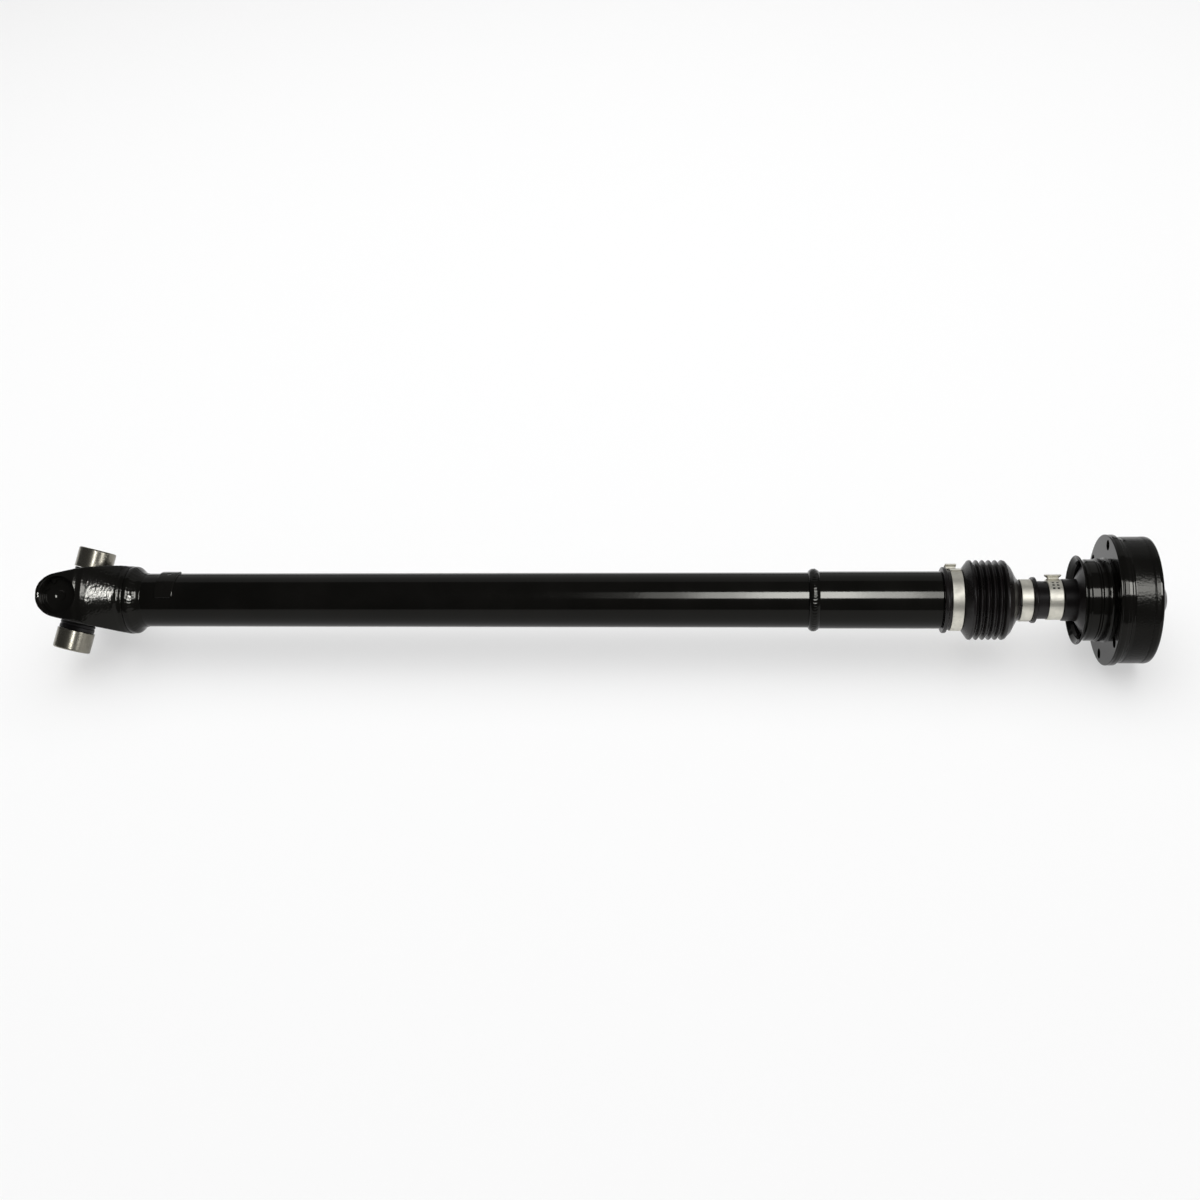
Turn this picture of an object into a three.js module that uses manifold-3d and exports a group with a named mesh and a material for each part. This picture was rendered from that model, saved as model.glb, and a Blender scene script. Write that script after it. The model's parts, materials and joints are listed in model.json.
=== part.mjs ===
// Universal joint shaft: a welded tube yoke with its cross and bearing cups at one end,
// a splined slip joint under a bellows boot, and a ball type constant velocity joint at the other end.
// Units are millimetres, +Z is up and +X runs along the shaft toward the constant velocity joint.
// Stations along the shaft are measured from the centre of the cross.
import * as THREE from 'three';
import { mergeVertices } from 'three/addons/utils/BufferGeometryUtils.js';
import Module from 'manifold-3d';

const wasm = await Module();
wasm.setup();

// Overall placement
const CROSS_X = -405.6; // X of the cross centre, so the whole part is centred on X = 0
const AXIS_Z = 49.0; // height of the shaft axis, so the flange rim touches Z = 0
const EAR_ROLL = THREE.MathUtils.degToRad(45); // ear axis, turned from +Z toward -Y
const CROSS_TILT = THREE.MathUtils.degToRad(13.5); // free trunnions, leaning toward +X at the top
const UP_ANGLE = THREE.MathUtils.degToRad(-40); // where the tabs of two clamps point

// Facets around the round pieces
const FINE = 40;
const ROUND = 32;
const COARSE = 24;
const SMALL = 12;

// Tube yoke
const EAR_FACE = 48.6;
const EAR_INNER = 27.0;
const BOSS_R = 17.2;
const NECK_X = 39.6;
const NECK_R = 26.9;
const CROTCH_X = 33.0;
const HUB_END_X = 41.3;
const PLUG_END_X = 54.0;
const PLUG_R = 18.9;
const PLUG_BORE_R = 14.0;

// Cross and its four bearing cups
const CUP_R = 14.3;
const CUP_END = 40.9;
const CUP_MOUTH = 24.9;
const CUP_BORE_R = 12.0;
const CUP_FLOOR = 2.4;
const TRUNNION_R = 9.0;
const TRUNNION_END = 38.2;
const SHOULDER_R = 12.0;
const SHOULDER_END = 18.0;
const CROSS_HUB_R = 15.0;
const SEAL_OUTER_R = 13.3;
const EAR_BORE_R = 14.4;
const SNAP_RING_X = 41.1;
const SNAP_RING_T = 1.3;

// Tube, sleeve and their welds
const TUBE_R = 21.0;
const TUBE_BORE_R = 19.1;
const TUBE_START_X = 41.5;
const TUBE_END_X = 573.6;
const SLEEVE_R = 21.7;
const SLEEVE_SEAT_R = 20.6;
const SLEEVE_BORE_R = 17.5;
const SLEEVE_START_X = 573.8;
const SLEEVE_SEAT_X = 669.4;
const SLEEVE_END_X = 685.0;
const BUSH_START_X = 636.0;
const BUSH_END_X = 683.0;

// Splined stub shaft
const SPLINE_TEETH = 16;
const SPLINE_OUTER_R = 13.1;
const SPLINE_ROOT_R = 11.7;
const SPLINE_CLEARANCE = 0.3;
const STUB_START_X = 600.0;
const STUB_SPLINE_END_X = 722.0;
const STUB_STEP_X = 742.0;
const STUB_NECK_R = 12.0;
const STUB_END_X = 816.5;
const CIRCLIP_X = 813.2;
const CIRCLIP_T = 1.3;

// Bellows boot over the slip joint
const FOLDS = 6;
const FOLD_START_X = 690.1;
const FOLD_PITCH = 4.72;
const FOLD_CREST_R = 30.1;
const FOLD_VALLEY_R = 26.7;
const BOOT_WALL = 1.6;

// Boot clamps: start, end, inner radius, outer radius, tab height and the way the tab points
const FAR_SIDE = UP_ANGLE - THREE.MathUtils.degToRad(130);
const CLAMPS = [
  { name: 'clamp_boot_large', start: 674.8, end: 684.0, inner: 22.75, outer: 23.5, tab: 3.4, turn: UP_ANGLE },
  { name: 'clamp_boot_small', start: 727.0, end: 735.6, inner: 15.1, outer: 15.9, tab: 3.2, turn: FAR_SIDE },
  { name: 'clamp_cv_boot', start: 747.0, end: 757.4, inner: 14.4, outer: 15.2, tab: 4.2, turn: UP_ANGLE },
];
const TAB_WIDTH = 8.4;

// Constant velocity joint
const CV_X = 803.0;
const BALLS = 6;
const BALL_R = 7.0;
const BALL_CIRCLE_R = 25.5;
const TRACK_R = 8.0;
const CAGE_OUTER_R = 28.5;
const CAGE_INNER_R = 23.5;
const CAGE_HALF = 9.5;
const WINDOW_R = 7.35;
const RACE_BORE_R = 29.3;
const INNER_RACE_R = 22.8;
const INNER_RACE_BORE_R = 12.3;
const BOLT_CIRCLE_R = 42.3;
const BOLT_HOLE_R = 3.9;
const BOLT_HOLES = 6;
const FIRST_HOLE = THREE.MathUtils.degToRad(37);
const FIRST_BALL = THREE.MathUtils.degToRad(7);
const CAP_PLATE_R = 32.8;

// Balance weight
const WEIGHT_START_X = 65.2;
const WEIGHT_END_X = 80.4;
const WEIGHT_T = 1.2;
const WEIGHT_HALF_ANGLE = THREE.MathUtils.degToRad(44);
const WEIGHT_CENTRE = UP_ANGLE + THREE.MathUtils.degToRad(43);

// Turns any three.js geometry into a closed Manifold solid with its faces outward.
function solidFrom(geometry) {
  const source = geometry.index ? geometry.toNonIndexed() : geometry;
  const bare = new THREE.BufferGeometry();
  bare.setAttribute('position', source.getAttribute('position').clone());
  const welded = mergeVertices(bare, 1e-4);
  const points = welded.getAttribute('position').array;
  const triangles = [];
  let volume = 0;
  const a = new THREE.Vector3();
  const b = new THREE.Vector3();
  const c = new THREE.Vector3();
  for (let i = 0; i < welded.index.count; i += 3) {
    const [p, q, r] = [0, 1, 2].map((k) => welded.index.getX(i + k));
    if (p !== q && q !== r && r !== p) {
      triangles.push([p, q, r]);
      a.fromArray(points, 3 * p);
      b.fromArray(points, 3 * q);
      c.fromArray(points, 3 * r);
      volume += a.dot(b.cross(c));
    }
  }
  const ordered = volume < 0 ? triangles.map(([p, q, r]) => [p, r, q]) : triangles;
  return new wasm.Manifold(new wasm.Mesh({
    numProp: 3,
    vertProperties: new Float32Array(points),
    triVerts: new Uint32Array(ordered.flat()),
  }));
}

// Turns a Manifold solid back into a three.js geometry.
function geometryFrom(solid) {
  const mesh = solid.getMesh();
  const geometry = new THREE.BufferGeometry();
  geometry.setAttribute('position', new THREE.BufferAttribute(new Float32Array(mesh.vertProperties), 3));
  geometry.setIndex(new THREE.BufferAttribute(new Uint32Array(mesh.triVerts), 1));
  geometry.computeVertexNormals();
  return geometry;
}

// A solid of revolution about X from [x, r] points; a profile off the axis is closed on itself.
function turned(profile, facets) {
  const points = profile.map(([x, r]) => new THREE.Vector2(r, x));
  const onAxis = profile[0][1] === 0 && profile[profile.length - 1][1] === 0;
  if (!onAxis) {
    points.push(points[0].clone());
  }
  return new THREE.LatheGeometry(points, facets).rotateZ(-Math.PI / 2);
}

function rod(start, end, radius, facets) {
  return turned([[start, 0], [start, radius], [end, radius], [end, 0]], facets);
}

function tubeRing(start, end, inner, outer, facets) {
  return turned([[start, inner], [start, outer], [end, outer], [end, inner]], facets);
}

// Pushes an outline drawn in XY through a depth centred on Z = 0.
function slab(points, depth) {
  const shape = new THREE.Shape(points.map(([x, y]) => new THREE.Vector2(x, y)));
  const geometry = new THREE.ExtrudeGeometry(shape, { depth, bevelEnabled: false });
  return geometry.translate(0, 0, -depth / 2);
}

// A bar with straight-sided spline teeth, lying along X.
function splineBar(start, end, root, crest, teeth, halfShare) {
  const points = [];
  const pitch = (2 * Math.PI) / teeth;
  const tip = halfShare - 0.13;
  for (let i = 0; i < teeth; i += 1) {
    const corners = [[-halfShare, root], [-tip, crest], [tip, crest], [halfShare, root]];
    for (const [share, radius] of corners) {
      const angle = (i + share) * pitch;
      points.push([radius * Math.cos(angle), radius * Math.sin(angle)]);
    }
  }
  const bar = slab(points, end - start);
  return bar.rotateY(Math.PI / 2).translate((start + end) / 2, 0, 0);
}

const group = new THREE.Group();
group.name = 'universal_joint_shaft';

function addNode(name, geometry, look) {
  const material = new THREE.MeshStandardMaterial(look);
  const mesh = new THREE.Mesh(geometry, material);
  geometry.translate(CROSS_X, 0, AXIS_Z);
  mesh.name = name;
  group.add(mesh);
}

const BLACK_PAINT = { color: 0x17171a, roughness: 0.28, metalness: 0.3 };
const CUP_STEEL = { color: 0xb4b0a6, roughness: 0.38, metalness: 0.9 };
const CLAMP_STEEL = { color: 0xc4c3bd, roughness: 0.3, metalness: 0.9 };
const MACHINED = { color: 0x8f9194, roughness: 0.35, metalness: 0.9 };
const BALL_STEEL = { color: 0xd5d7da, roughness: 0.12, metalness: 1.0 };
const RUBBER = { color: 0x23201f, roughness: 0.62, metalness: 0.0 };

// ---- Tube yoke: one casting, drawn with its ear axis on Z and rolled into place ----
function makeYoke() {
  const reach = Math.hypot(NECK_X, NECK_R);
  const tangent = Math.atan2(NECK_R, NECK_X) + Math.acos(BOSS_R / reach);
  const side = [[PLUG_END_X, -NECK_R], [PLUG_END_X, NECK_R], [NECK_X, NECK_R]];
  const arcSteps = 18;
  for (let i = 0; i <= arcSteps; i += 1) {
    const angle = tangent + ((2 * Math.PI - 2 * tangent) * i) / arcSteps;
    side.push([BOSS_R * Math.cos(angle), BOSS_R * Math.sin(angle)]);
  }
  side.push([NECK_X, -NECK_R]);

  const half = [[PLUG_END_X, EAR_FACE], [-BOSS_R - 2, EAR_FACE], [-BOSS_R - 2, EAR_INNER]];
  const cornerR = 12;
  for (let i = 0; i <= 5; i += 1) {
    const angle = (Math.PI / 2) * (1 - i / 5);
    half.push([
      CROTCH_X - cornerR + cornerR * Math.cos(angle),
      EAR_INNER - cornerR + cornerR * Math.sin(angle),
    ]);
  }
  const fork = [...half, ...half.map(([x, y]) => [x, -y]).reverse()];

  const envelope = turned([
    [-BOSS_R - 2, 0], [-BOSS_R - 2, 49.2], [16.5, 51.0], [19.0, 48.2], [37.2, 29.3], [38.4, 27.4],
    [NECK_X, NECK_R], [HUB_END_X, 26.4], [HUB_END_X, PLUG_R], [PLUG_END_X, PLUG_R], [PLUG_END_X, 0],
  ], ROUND);

  const body = solidFrom(slab(side, 2 * EAR_FACE + 10))
    .intersect(solidFrom(slab(fork, 2 * NECK_R + 10).rotateX(Math.PI / 2)))
    .intersect(solidFrom(envelope));
  const bore = rod(-EAR_FACE - 5, EAR_FACE + 5, EAR_BORE_R, COARSE).rotateY(-Math.PI / 2);
  let yoke = body.subtract(solidFrom(bore));
  for (const sign of [1, -1]) {
    const groove = rod(SNAP_RING_X - 0.1, SNAP_RING_X + SNAP_RING_T + 0.3, EAR_BORE_R + 1.1, COARSE);
    yoke = yoke.subtract(solidFrom(groove.rotateY(-sign * Math.PI / 2)));
  }
  const blind = rod(CROTCH_X + 7, PLUG_END_X + 5, PLUG_BORE_R, ROUND);
  return geometryFrom(yoke.subtract(solidFrom(blind))).rotateX(EAR_ROLL);
}
addNode('tube_yoke', makeYoke(), BLACK_PAINT);

// ---- Cross, cups, seals and needle sleeves ----
const ARMS = [
  { name: 'ear_near', turn: 0, inYoke: true },
  { name: 'ear_far', turn: Math.PI, inYoke: true },
  { name: 'free_upper', turn: -Math.PI / 2, inYoke: false },
  { name: 'free_lower', turn: Math.PI / 2, inYoke: false },
];

// Takes a piece drawn along +X to its arm of the cross.
function toArm(geometry, arm) {
  geometry.rotateY(-Math.PI / 2).rotateX(arm.turn);
  if (!arm.inYoke) {
    geometry.rotateZ(-CROSS_TILT);
  }
  return geometry.rotateX(EAR_ROLL);
}

function makeCross() {
  let cross = solidFrom(new THREE.SphereGeometry(CROSS_HUB_R, SMALL, 10));
  for (const arm of ARMS) {
    const profile = [
      [0, 0], [0, SHOULDER_R], [SHOULDER_END - 1, SHOULDER_R], [SHOULDER_END, SHOULDER_R - 1],
      [SHOULDER_END, TRUNNION_R], [TRUNNION_END - 1, TRUNNION_R], [TRUNNION_END, TRUNNION_R - 1],
      [TRUNNION_END, 0],
    ];
    const trunnion = toArm(turned(profile, SMALL), arm);
    cross = cross.add(solidFrom(trunnion));
  }
  return geometryFrom(cross);
}
addNode('cross', makeCross(), MACHINED);

function makeCup() {
  const floor = CUP_END - CUP_FLOOR;
  return turned([
    [floor, 0], [floor, CUP_BORE_R], [CUP_MOUTH, CUP_BORE_R], [CUP_MOUTH, CUP_R - 0.4],
    [CUP_MOUTH + 0.4, CUP_R], [CUP_END - 1.2, CUP_R], [CUP_END - 0.4, CUP_R - 0.4],
    [CUP_END, CUP_R - 1.2], [CUP_END, 0],
  ], COARSE);
}

function makeSeal() {
  return turned([
    [SHOULDER_END + 0.3, TRUNNION_R + 0.3], [SHOULDER_END + 0.3, SEAL_OUTER_R - 0.8],
    [SHOULDER_END + 1.1, SEAL_OUTER_R], [CUP_MOUTH - 0.3, SEAL_OUTER_R],
    [CUP_MOUTH - 0.3, TRUNNION_R + 0.3],
  ], COARSE);
}

function makeNeedles() {
  return tubeRing(CUP_MOUTH + 0.4, CUP_END - CUP_FLOOR - 1.2, TRUNNION_R + 0.3, CUP_BORE_R - 0.3, SMALL);
}

for (const arm of ARMS) {
  addNode(`cup_${arm.name}`, toArm(makeCup(), arm), arm.inYoke ? BLACK_PAINT : CUP_STEEL);
  addNode(`seal_${arm.name}`, toArm(makeSeal(), arm), RUBBER);
  addNode(`needles_${arm.name}`, toArm(makeNeedles(), arm), MACHINED);
}

// A snap ring in each ear, open on one side.
function makeSnapRing(start, thickness, inner, outer, gap) {
  const ring = solidFrom(tubeRing(start, start + thickness, inner, outer, COARSE));
  const cut = new THREE.BoxGeometry(thickness + 4, gap, outer).translate(start, 0, outer * 0.75);
  return geometryFrom(ring.subtract(solidFrom(cut)));
}

for (const arm of ARMS.filter((one) => one.inYoke)) {
  const ring = makeSnapRing(SNAP_RING_X, SNAP_RING_T, EAR_BORE_R - 2.6, EAR_BORE_R + 0.8, 7);
  addNode(`snap_ring_${arm.name}`, toArm(ring, arm), MACHINED);
}

// ---- Tube, welds, balance weight and sleeve ----
addNode('yoke_weld', turned([
  [TUBE_START_X, TUBE_R + 0.05], [TUBE_START_X, 26.3], [TUBE_START_X + 2.6, 26.4],
  [TUBE_START_X + 5.0, 25.2], [TUBE_START_X + 7.6, 23.0], [TUBE_START_X + 12.2, 21.25],
  [TUBE_START_X + 12.2, TUBE_R + 0.05],
], ROUND), BLACK_PAINT);

addNode('tube', tubeRing(TUBE_START_X, TUBE_END_X, TUBE_BORE_R, TUBE_R, ROUND), BLACK_PAINT);

function makeBalanceWeight() {
  const inner = TUBE_R + 0.1;
  const outer = inner + WEIGHT_T;
  const steps = 12;
  const points = [];
  for (let i = 0; i <= steps; i += 1) {
    const angle = WEIGHT_HALF_ANGLE * ((2 * i) / steps - 1);
    points.push([inner * Math.cos(angle), inner * Math.sin(angle)]);
  }
  for (let i = steps; i >= 0; i -= 1) {
    const angle = WEIGHT_HALF_ANGLE * ((2 * i) / steps - 1);
    points.push([outer * Math.cos(angle), outer * Math.sin(angle)]);
  }
  const plate = slab(points, WEIGHT_END_X - WEIGHT_START_X);
  plate.rotateY(-Math.PI / 2).translate((WEIGHT_START_X + WEIGHT_END_X) / 2, 0, 0);
  return plate.rotateX(WEIGHT_CENTRE);
}
addNode('balance_weight', makeBalanceWeight(), BLACK_PAINT);

addNode('sleeve_weld', turned([
  [570.2, TUBE_R + 0.05], [571.6, 23.2], [573.8, 23.9], [575.8, 23.8], [578.0, 22.8],
  [578.8, SLEEVE_R + 0.05], [573.7, SLEEVE_R + 0.05], [573.7, TUBE_R + 0.05],
], ROUND), BLACK_PAINT);

addNode('slip_sleeve', turned([
  [SLEEVE_START_X, SLEEVE_BORE_R], [SLEEVE_START_X, SLEEVE_R], [SLEEVE_SEAT_X - 0.6, SLEEVE_R],
  [SLEEVE_SEAT_X, SLEEVE_SEAT_R], [SLEEVE_END_X - 1, SLEEVE_SEAT_R],
  [SLEEVE_END_X, SLEEVE_SEAT_R - 1], [SLEEVE_END_X, SLEEVE_BORE_R],
], ROUND), BLACK_PAINT);

// ---- Splined bush and stub shaft ----
function makeBush() {
  const ring = solidFrom(rod(BUSH_START_X, BUSH_END_X, SLEEVE_BORE_R - 0.05, ROUND));
  const hole = splineBar(
    BUSH_START_X - 2, BUSH_END_X + 2,
    SPLINE_ROOT_R + SPLINE_CLEARANCE, SPLINE_OUTER_R + SPLINE_CLEARANCE, SPLINE_TEETH, 0.36,
  );
  return geometryFrom(ring.subtract(solidFrom(hole)));
}
addNode('splined_bush', makeBush(), MACHINED);

function makeStub() {
  const spline = splineBar(
    STUB_START_X, STUB_SPLINE_END_X, SPLINE_ROOT_R, SPLINE_OUTER_R, SPLINE_TEETH, 0.3,
  );
  const shank = turned([
    [STUB_START_X - 1.5, 0], [STUB_START_X - 1.5, SPLINE_ROOT_R - 1.6],
    [STUB_START_X + 0.5, SPLINE_ROOT_R - 0.2], [STUB_SPLINE_END_X - 4, SPLINE_ROOT_R - 0.2],
    [STUB_SPLINE_END_X - 1, SPLINE_OUTER_R], [STUB_STEP_X - 0.6, SPLINE_OUTER_R],
    [STUB_STEP_X, SPLINE_OUTER_R - 0.6], [STUB_STEP_X, STUB_NECK_R],
    [CIRCLIP_X - 0.1, STUB_NECK_R], [CIRCLIP_X - 0.1, STUB_NECK_R - 1.4],
    [CIRCLIP_X + CIRCLIP_T + 0.1, STUB_NECK_R - 1.4], [CIRCLIP_X + CIRCLIP_T + 0.1, STUB_NECK_R],
    [STUB_END_X - 1, STUB_NECK_R], [STUB_END_X, STUB_NECK_R - 1], [STUB_END_X, 0],
  ], COARSE);
  return geometryFrom(solidFrom(spline).add(solidFrom(shank)));
}
addNode('stub_shaft', makeStub(), MACHINED);

// ---- Bellows boot ----
function makeSlipBoot() {
  const outer = [
    [669.9, 24.4], [670.6, 25.1], [672.4, 25.1], [673.4, 22.65], [684.2, 22.65], [687.6, 28.0],
  ];
  for (let i = 0; i < FOLDS; i += 1) {
    const crest = FOLD_START_X + i * FOLD_PITCH;
    outer.push([crest, FOLD_CREST_R]);
    if (i < FOLDS - 1) {
      outer.push([crest + FOLD_PITCH / 2, FOLD_VALLEY_R]);
    }
  }
  outer.push([718.2, 26.4], [725.6, 15.0], [735.8, 15.0], [736.2, 17.2], [738.0, 17.4], [738.5, 16.9]);
  const inner = [
    [738.5, SPLINE_OUTER_R + 0.2], [725.2, SPLINE_OUTER_R + 0.2], [716.6, FOLD_VALLEY_R - BOOT_WALL],
    [687.8, FOLD_VALLEY_R - BOOT_WALL], [684.8, SLEEVE_SEAT_R + 0.2], [669.9, SLEEVE_SEAT_R + 0.2],
  ];
  return turned([...outer, ...inner], COARSE);
}
addNode('slip_boot', makeSlipBoot(), RUBBER);

// ---- Boot clamps: a band with one raised tab ----
function makeClamp(clamp) {
  const band = solidFrom(tubeRing(clamp.start, clamp.end, clamp.inner, clamp.outer, COARSE));
  const rise = clamp.outer + clamp.tab;
  const base = clamp.inner + 0.3;
  const half = TAB_WIDTH / 2;
  const outline = [
    [-half + 1.6, base], [half - 1.6, base], [half - 0.8, rise - 1.0], [half, rise],
    [-half, rise], [-half + 0.8, rise - 1.0],
  ];
  const tab = slab(outline, clamp.end - clamp.start - 1.0);
  tab.rotateX(Math.PI / 2).rotateZ(Math.PI / 2).translate((clamp.start + clamp.end) / 2, 0, 0);
  return geometryFrom(band.add(solidFrom(tab.rotateX(clamp.turn))));
}
for (const clamp of CLAMPS) {
  addNode(clamp.name, makeClamp(clamp), CLAMP_STEEL);
}

// ---- Constant velocity joint ----
addNode('cv_boot', turned([
  [739.1, 13.8], [739.6, 14.25], [757.7, 14.25], [758.6, 15.7], [769.6, 15.9], [771.0, 16.4],
  [772.0, 19.0], [772.8, 27.6], [773.6, 28.3], [779.2, 28.3], [779.2, 26.3], [775.0, 26.0], [774.0, 18.4],
  [772.0, 14.4], [769.2, 13.8], [759.8, 13.8], [758.0, STUB_NECK_R + 0.2], [742.3, STUB_NECK_R + 0.2],
  [742.2, SPLINE_OUTER_R + 0.2], [739.1, SPLINE_OUTER_R + 0.2],
], COARSE), RUBBER);

function addRing(solid, count, first, makeTool, join) {
  let result = solid;
  for (let i = 0; i < count; i += 1) {
    const tool = solidFrom(makeTool().rotateX(first + (i * 2 * Math.PI) / count));
    result = join ? result.add(tool) : result.subtract(tool);
  }
  return result;
}

function boltHole() {
  return rod(CV_X - 30, CV_X + 30, BOLT_HOLE_R, SMALL).translate(0, 0, BOLT_CIRCLE_R);
}

// A ball track: a torus round the joint centre in a plane through the shaft axis.
function ballTrack() {
  const torus = new THREE.TorusGeometry(BALL_CIRCLE_R, TRACK_R, 10, 24);
  return torus.rotateX(Math.PI / 2).translate(CV_X, 0, 0);
}

function sphereAt(x, radius) {
  return new THREE.SphereGeometry(radius, COARSE, 12).rotateZ(-Math.PI / 2).translate(x, 0, 0);
}

function makeBootCan() {
  const shell = solidFrom(turned([
    [768.3, 32.6], [768.9, 33.5], [769.9, 32.8], [771.8, 29.8], [773.4, 29.8], [774.6, 30.5],
    [779.8, 30.5], [780.8, 29.8], [781.8, 29.8], [782.6, 31.0], [785.2, 31.0], [786.4, 30.4],
    [789.2, 32.0], [789.2, 47.8], [790.2, 49.0], [795.0, 49.0], [795.0, 47.7], [790.8, 47.6],
    [790.6, 31.2], [788.0, 29.0], [773.0, 28.6], [770.8, 29.4],
  ], FINE));
  return geometryFrom(addRing(shell, BOLT_HOLES, FIRST_HOLE, boltHole, false));
}
addNode('boot_can', makeBootCan(), BLACK_PAINT);

function makeOuterRace() {
  let race = solidFrom(turned([
    [790.85, 0], [790.85, 47.4], [797.6, 47.4], [798.2, 46.7], [799.2, 46.7], [799.8, 47.3],
    [812.9, 47.3], [813.6, 46.8], [814.3, 47.3], [817.0, 47.3], [819.3, 46.2], [820.1, 44.2],
    [820.1, CAP_PLATE_R + 0.2],
    [818.3, CAP_PLATE_R + 0.2], [818.3, 0],
  ], FINE));
  race = race.subtract(solidFrom(sphereAt(CV_X, RACE_BORE_R)));
  race = addRing(race, BALLS / 2, FIRST_BALL, ballTrack, false);
  return geometryFrom(addRing(race, BOLT_HOLES, FIRST_HOLE, boltHole, false));
}
addNode('cv_outer_race', makeOuterRace(), BLACK_PAINT);

function makeInnerRace() {
  const ball = solidFrom(sphereAt(CV_X, INNER_RACE_R));
  const slice = solidFrom(rod(CV_X - CAGE_HALF, CV_X + CAGE_HALF, RACE_BORE_R, SMALL));
  const hole = solidFrom(rod(CV_X - 20, CV_X + 20, INNER_RACE_BORE_R, COARSE));
  const race = ball.intersect(slice).subtract(hole);
  return geometryFrom(addRing(race, BALLS / 2, FIRST_BALL, ballTrack, false));
}
addNode('cv_inner_race', makeInnerRace(), MACHINED);

function makeCage() {
  const outer = solidFrom(sphereAt(CV_X, CAGE_OUTER_R));
  const slice = solidFrom(rod(CV_X - CAGE_HALF, CV_X + CAGE_HALF, RACE_BORE_R + 2, SMALL));
  const shell = outer.intersect(slice).subtract(solidFrom(sphereAt(CV_X, CAGE_INNER_R)));
  const window = () => rod(15, 35, WINDOW_R, SMALL).rotateY(-Math.PI / 2).translate(CV_X, 0, 0);
  return geometryFrom(addRing(shell, BALLS, FIRST_BALL, window, false));
}
addNode('cv_cage', makeCage(), MACHINED);

for (let i = 0; i < BALLS; i += 1) {
  const ball = new THREE.SphereGeometry(BALL_R, 12, 8).translate(CV_X, 0, BALL_CIRCLE_R);
  ball.rotateX(FIRST_BALL + (i * 2 * Math.PI) / BALLS);
  addNode(`cv_ball_${i + 1}`, geometryFrom(solidFrom(ball)), BALL_STEEL);
}

addNode(
  'circlip',
  makeSnapRing(CIRCLIP_X, CIRCLIP_T, STUB_NECK_R - 1.2, STUB_NECK_R + 1.6, 5),
  MACHINED,
);

addNode('grease_cap', turned([
  [832.8, 0], [831.4, 7.8], [827.4, 13.6], [821.0, 18.6], [818.5, 22.4], [818.5, CAP_PLATE_R],
  [820.1, CAP_PLATE_R], [820.1, 23.4], [822.4, 20.2], [828.8, 14.9], [832.9, 8.4], [834.4, 0],
], COARSE), BLACK_PAINT);

export default group;
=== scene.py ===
"""Universal joint shaft: the visual model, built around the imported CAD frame.

Points in the piece tables are (x, r): millimetres along the shaft from the centre of the cross, and out from
the axis. Meshes are in metres.
"""

import json
import math

import bmesh
import bpy
from mathutils import Matrix, Quaternion, Vector, noise


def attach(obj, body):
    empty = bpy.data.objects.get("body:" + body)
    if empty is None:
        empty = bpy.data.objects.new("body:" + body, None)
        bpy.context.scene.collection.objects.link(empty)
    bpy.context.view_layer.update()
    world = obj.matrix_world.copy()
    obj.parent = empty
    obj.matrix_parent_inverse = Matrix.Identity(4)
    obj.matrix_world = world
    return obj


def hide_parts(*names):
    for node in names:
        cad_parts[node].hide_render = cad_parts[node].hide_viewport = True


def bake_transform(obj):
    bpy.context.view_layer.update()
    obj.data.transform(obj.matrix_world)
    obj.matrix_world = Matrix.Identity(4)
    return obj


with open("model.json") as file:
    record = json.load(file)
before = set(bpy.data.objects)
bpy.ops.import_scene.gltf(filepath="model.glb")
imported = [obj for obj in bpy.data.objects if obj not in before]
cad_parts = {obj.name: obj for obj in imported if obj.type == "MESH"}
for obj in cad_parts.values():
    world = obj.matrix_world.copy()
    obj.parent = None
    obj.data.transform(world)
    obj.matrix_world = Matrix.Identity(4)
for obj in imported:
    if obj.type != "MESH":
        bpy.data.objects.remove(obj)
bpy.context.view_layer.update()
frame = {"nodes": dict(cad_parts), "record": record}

MM = 0.001
joints = {joint["name"]: joint for joint in frame["record"]["behaviour"]["joints"]}
CROSS = Vector(joints["cross_swing"]["pos_m"])
EAR_AXIS = Vector(joints["cross_swing"]["axis"]).normalized()
FREE_AXIS = Vector(joints["upper_cup_spin"]["axis"]).normalized()
SHAFT = Vector((1.0, 0.0, 0.0))
CV_STATION = (joints["cv_bend_pitch"]["pos_m"][0] - CROSS.x) / MM

# ---------------------------------------------------------------- camera
ELEVATION = math.radians(40.0)
YAW = math.radians(5.03)
LENS = 41.7
SENSOR_WIDTH = 36.0
CAMERA_DISTANCE = 1.071
AIM_STATION = 411.9

away = Vector((0.0, math.cos(ELEVATION), -math.sin(ELEVATION)))
image_up = Vector((0.0, math.sin(ELEVATION), math.cos(ELEVATION)))
forward = (SHAFT * -math.sin(YAW) + away * math.cos(YAW)).normalized()
right = forward.cross(image_up).normalized()
aim = CROSS + SHAFT * (AIM_STATION * MM)

camera_data = bpy.data.cameras.new("camera")
camera_data.lens = LENS
camera_data.sensor_width = SENSOR_WIDTH
camera_data.clip_start = 0.01
camera = bpy.data.objects.new("camera", camera_data)
bpy.context.scene.collection.objects.link(camera)
rotation = Matrix((right, image_up, -forward)).transposed().to_4x4()
camera.matrix_world = Matrix.Translation(aim - forward * CAMERA_DISTANCE) @ rotation
bpy.context.scene.camera = camera
bpy.context.scene.view_settings.view_transform = "Standard"


# ---------------------------------------------------------------- mesh helpers
def add_object(name, mesh):
    piece = bpy.data.objects.new(name, mesh)
    bpy.context.scene.collection.objects.link(piece)
    return piece


def mesh_from(name, verts, faces):
    mesh = bpy.data.meshes.new(name)
    mesh.from_pydata([tuple(v) for v in verts], [], faces)
    mesh.validate()
    mesh.update()
    return mesh


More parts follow.
